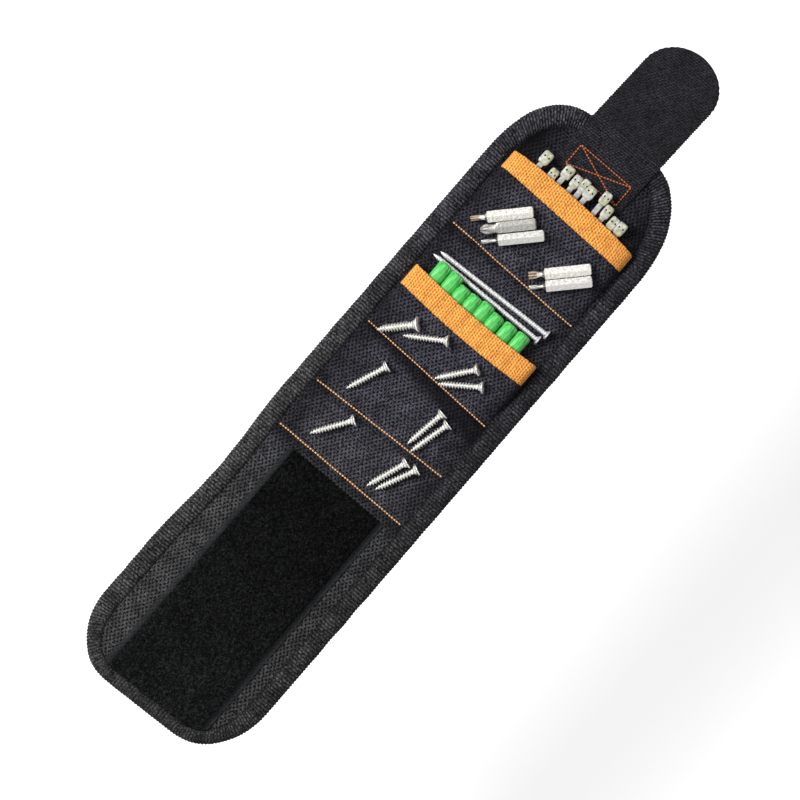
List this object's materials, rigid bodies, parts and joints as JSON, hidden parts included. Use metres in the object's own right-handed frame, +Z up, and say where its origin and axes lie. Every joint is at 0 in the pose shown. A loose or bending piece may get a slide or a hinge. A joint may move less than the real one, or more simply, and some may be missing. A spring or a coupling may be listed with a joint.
{
  "type": "magnetic wristband",
  "caption": "Cloth wristband with magnets under its folding sections, two elastic-hemmed pockets and a hook strap, holding screws, nails, bits, wall plugs and cable ties.",
  "frame": {"origin": "middle of the laid out band and strap, on the surface that the band lies on", "axes": "+X along the band towards the strap tip, +Y across the band, +Z up from the face that lies on the wrist"},
  "size_m": [0.382, 0.09, 0.0154],
  "materials": {
    "cloth": "woven charcoal cloth",
    "lining": "padded mesh",
    "binding": "ribbed tape",
    "pile": "looped pile",
    "elastic": "orange woven elastic",
    "webbing": "elastic webbing",
    "hook": "hook tape",
    "magnet": "nickel plated",
    "zinc": "zinc plated",
    "steel": "bright drawn steel",
    "chrome": "sand blasted nickel",
    "plug_plastic": "green nylon",
    "tie_plastic": "natural nylon"
  },
  "bodies": {
    "loop_end": {"loop_end_cloth": "cloth", "loop_end_lining": "lining", "loop_end_binding": "binding", "loop_pile_tape": "pile"},
    "section_a": {"section_a_cloth": "cloth", "section_a_lining": "lining", "section_a_binding_left": "binding", "section_a_binding_right": "binding", "section_a_magnet_1": "magnet", "section_a_magnet_2": "magnet"},
    "section_b": {"section_b_cloth": "cloth", "section_b_lining": "lining", "section_b_binding_left": "binding", "section_b_binding_right": "binding", "section_b_magnet_1": "magnet", "section_b_magnet_2": "magnet"},
    "section_c": {"section_c_cloth": "cloth", "section_c_lining": "lining", "section_c_binding_left": "binding", "section_c_binding_right": "binding", "section_c_magnet_1": "magnet", "section_c_magnet_2": "magnet", "plug_pocket_cloth": "cloth", "plug_pocket_hem": "elastic"},
    "section_d": {"section_d_cloth": "cloth", "section_d_lining": "lining", "section_d_binding": "binding", "section_d_magnet_1": "magnet", "section_d_magnet_2": "magnet", "tie_pocket_cloth": "cloth", "tie_pocket_hem": "elastic", "strap_webbing": "webbing"},
    "strap_tab": {"hook_tab": "hook", "hook_pad": "hook"},
    "screw_1": {"screw_1": "zinc"},
    "screw_2": {"screw_2": "zinc"},
    "screw_3": {"screw_3": "zinc"},
    "screw_4": {"screw_4": "zinc"},
    "screw_5": {"screw_5": "zinc"},
    "screw_6": {"screw_6": "zinc"},
    "screw_7": {"screw_7": "zinc"},
    "screw_8": {"screw_8": "zinc"},
    "screw_9": {"screw_9": "zinc"},
    "screw_10": {"screw_10": "zinc"},
    "nail_1": {"nail_1": "steel"},
    "nail_2": {"nail_2": "steel"},
    "bit_1": {"bit_1": "chrome"},
    "bit_2": {"bit_2": "chrome"},
    "bit_3": {"bit_3": "chrome"},
    "bit_4": {"bit_4": "chrome"},
    "bit_5": {"bit_5": "chrome"},
    "plug_1": {"plug_1": "plug_plastic"},
    "plug_2": {"plug_2": "plug_plastic"},
    "plug_3": {"plug_3": "plug_plastic"},
    "plug_4": {"plug_4": "plug_plastic"},
    "plug_5": {"plug_5": "plug_plastic"},
    "plug_6": {"plug_6": "plug_plastic"},
    "plug_7": {"plug_7": "plug_plastic"},
    "plug_8": {"plug_8": "plug_plastic"},
    "cable_ties": {"cable_ties": "tie_plastic"}
  },
  "joints": [
    {"name": "seam_a_fold", "type": "hinge", "parent": "loop_end", "child": "section_a", "pos_m": [-0.0536, 0, 0], "axis": [-0.009, 1, 0], "range_deg": [0, 100]},
    {"name": "seam_b_fold", "type": "hinge", "parent": "section_a", "child": "section_b", "pos_m": [-0.027, 0, 0], "axis": [-0.0469, 0.9989, 0], "range_deg": [0, 52]},
    {"name": "seam_c_fold", "type": "hinge", "parent": "section_b", "child": "section_c", "pos_m": [0.00505, 0, 0], "axis": [0.026, 0.9997, 0], "range_deg": [0, 22]},
    {"name": "seam_d_fold", "type": "hinge", "parent": "section_c", "child": "section_d", "pos_m": [0.06295, 0, 0], "axis": [0.014, 0.9999, 0], "range_deg": [0, 49]},
    {"name": "strap_fold", "type": "hinge", "parent": "section_d", "child": "strap_tab", "pos_m": [0.1515, 0, 0.00374], "axis": [0, 1, 0], "range_deg": [-60, 137]},
    {"name": "screw_1_lift", "type": "slide", "parent": "section_a", "child": "screw_1", "axis": [0, 0, 1], "range_m": [0, 0.03]},
    {"name": "screw_2_lift", "type": "slide", "parent": "section_a", "child": "screw_2", "axis": [0, 0, 1], "range_m": [0, 0.03]},
    {"name": "screw_3_lift", "type": "slide", "parent": "section_a", "child": "screw_3", "axis": [0, 0, 1], "range_m": [0, 0.03]},
    {"name": "screw_4_lift", "type": "slide", "parent": "section_b", "child": "screw_4", "axis": [0, 0, 1], "range_m": [0, 0.03]},
    {"name": "screw_5_lift", "type": "slide", "parent": "section_b", "child": "screw_5", "axis": [0, 0, 1], "range_m": [0, 0.03]},
    {"name": "screw_6_lift", "type": "slide", "parent": "section_b", "child": "screw_6", "axis": [0, 0, 1], "range_m": [0, 0.03]},
    {"name": "screw_7_lift", "type": "slide", "parent": "section_c", "child": "screw_7", "axis": [-0.3387, 0, 0.9409], "range_m": [0, 0.03]},
    {"name": "screw_8_lift", "type": "slide", "parent": "section_c", "child": "screw_8", "axis": [-0.3387, 0, 0.9409], "range_m": [0, 0.03]},
    {"name": "screw_9_lift", "type": "slide", "parent": "section_c", "child": "screw_9", "axis": [-0.3387, 0, 0.9409], "range_m": [0, 0.03]},
    {"name": "screw_10_lift", "type": "slide", "parent": "section_c", "child": "screw_10", "axis": [-0.3387, 0, 0.9409], "range_m": [0, 0.03]},
    {"name": "nail_1_lift", "type": "slide", "parent": "section_c", "child": "nail_1", "axis": [0.5299, 0, 0.848], "range_m": [0, 0.03]},
    {"name": "nail_2_lift", "type": "slide", "parent": "section_c", "child": "nail_2", "axis": [0, 0, 1], "range_m": [0, 0.03]},
    {"name": "bit_1_lift", "type": "slide", "parent": "section_d", "child": "bit_1", "axis": [-0.2055, 0, 0.9787], "range_m": [0, 0.03]},
    {"name": "bit_2_lift", "type": "slide", "parent": "section_d", "child": "bit_2", "axis": [-0.2055, 0, 0.9787], "range_m": [0, 0.03]},
    {"name": "bit_3_lift", "type": "slide", "parent": "section_d", "child": "bit_3", "axis": [-0.2055, 0, 0.9787], "range_m": [0, 0.03]},
    {"name": "bit_4_lift", "type": "slide", "parent": "section_d", "child": "bit_4", "axis": [-0.2055, 0, 0.9787], "range_m": [0, 0.03]},
    {"name": "bit_5_lift", "type": "slide", "parent": "section_d", "child": "bit_5", "axis": [-0.2055, 0, 0.9787], "range_m": [0, 0.03]},
    {"name": "plug_1_pull", "type": "slide", "parent": "section_c", "child": "plug_1", "axis": [0.989, 0, 0.1478], "range_m": [0, 0.016]},
    {"name": "plug_2_pull", "type": "slide", "parent": "section_c", "child": "plug_2", "axis": [0.989, 0, 0.1478], "range_m": [0, 0.016]},
    {"name": "plug_3_pull", "type": "slide", "parent": "section_c", "child": "plug_3", "axis": [0.989, 0, 0.1478], "range_m": [0, 0.016]},
    {"name": "plug_4_pull", "type": "slide", "parent": "section_c", "child": "plug_4", "axis": [0.989, 0, 0.1478], "range_m": [0, 0.016]},
    {"name": "plug_5_pull", "type": "slide", "parent": "section_c", "child": "plug_5", "axis": [0.989, 0, 0.1478], "range_m": [0, 0.016]},
    {"name": "plug_6_pull", "type": "slide", "parent": "section_c", "child": "plug_6", "axis": [0.989, 0, 0.1478], "range_m": [0, 0.016]},
    {"name": "plug_7_pull", "type": "slide", "parent": "section_c", "child": "plug_7", "axis": [0.989, 0, 0.1478], "range_m": [0, 0.016]},
    {"name": "plug_8_pull", "type": "slide", "parent": "section_c", "child": "plug_8", "axis": [0.989, 0, 0.1478], "range_m": [0, 0.016]},
    {"name": "cable_ties_pull", "type": "slide", "parent": "section_d", "child": "cable_ties", "axis": [0.9936, 0, 0.1132], "range_m": [0, 0.034]}
  ]
}
